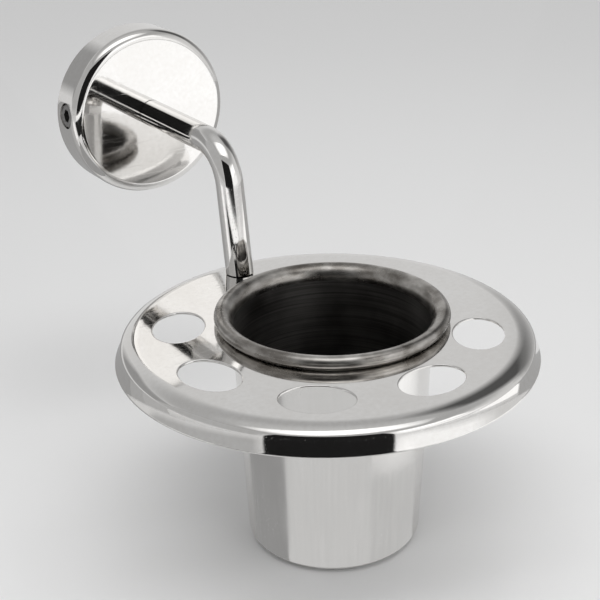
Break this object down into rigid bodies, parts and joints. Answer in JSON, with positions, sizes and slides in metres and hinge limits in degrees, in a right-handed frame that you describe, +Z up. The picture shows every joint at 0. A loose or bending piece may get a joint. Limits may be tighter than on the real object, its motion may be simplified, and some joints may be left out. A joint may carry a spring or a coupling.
{
  "type": "tumbler holder",
  "caption": "Wall-hung round plate on a bent arm, holding a lift-out steel tumbler in its opening and toothbrushes in the oval holes round it.",
  "frame": {"origin": "centre of the wall bracket's flat back face, on the wall's surface", "axes": "+Y into the wall, +Z up, +X to the right seen from the room"},
  "size_m": [0.126, 0.2015, 0.1421],
  "materials": {
    "polished_steel": "mirror-polished stainless steel",
    "satin_steel": "satin stainless steel",
    "zinc_steel": "bright zinc plated",
    "dark_steel": "plain dark steel"
  },
  "bodies": {
    "holder": {"wall_bracket": "satin_steel", "wall_screw_left": "zinc_steel", "wall_screw_right": "zinc_steel", "flange_cup": "polished_steel", "grub_screw": "dark_steel", "cup_screw": "zinc_steel", "cup_washer": "zinc_steel", "arm": "polished_steel", "plate": "polished_steel", "plate_screw": "zinc_steel", "plate_washer": "zinc_steel"},
    "tumbler": {"tumbler": "polished_steel"}
  },
  "joints": [
    {"name": "tumbler_lift", "type": "slide", "parent": "holder", "child": "tumbler", "axis": [0, 0, 1], "range_m": [0, 0.145]}
  ]
}
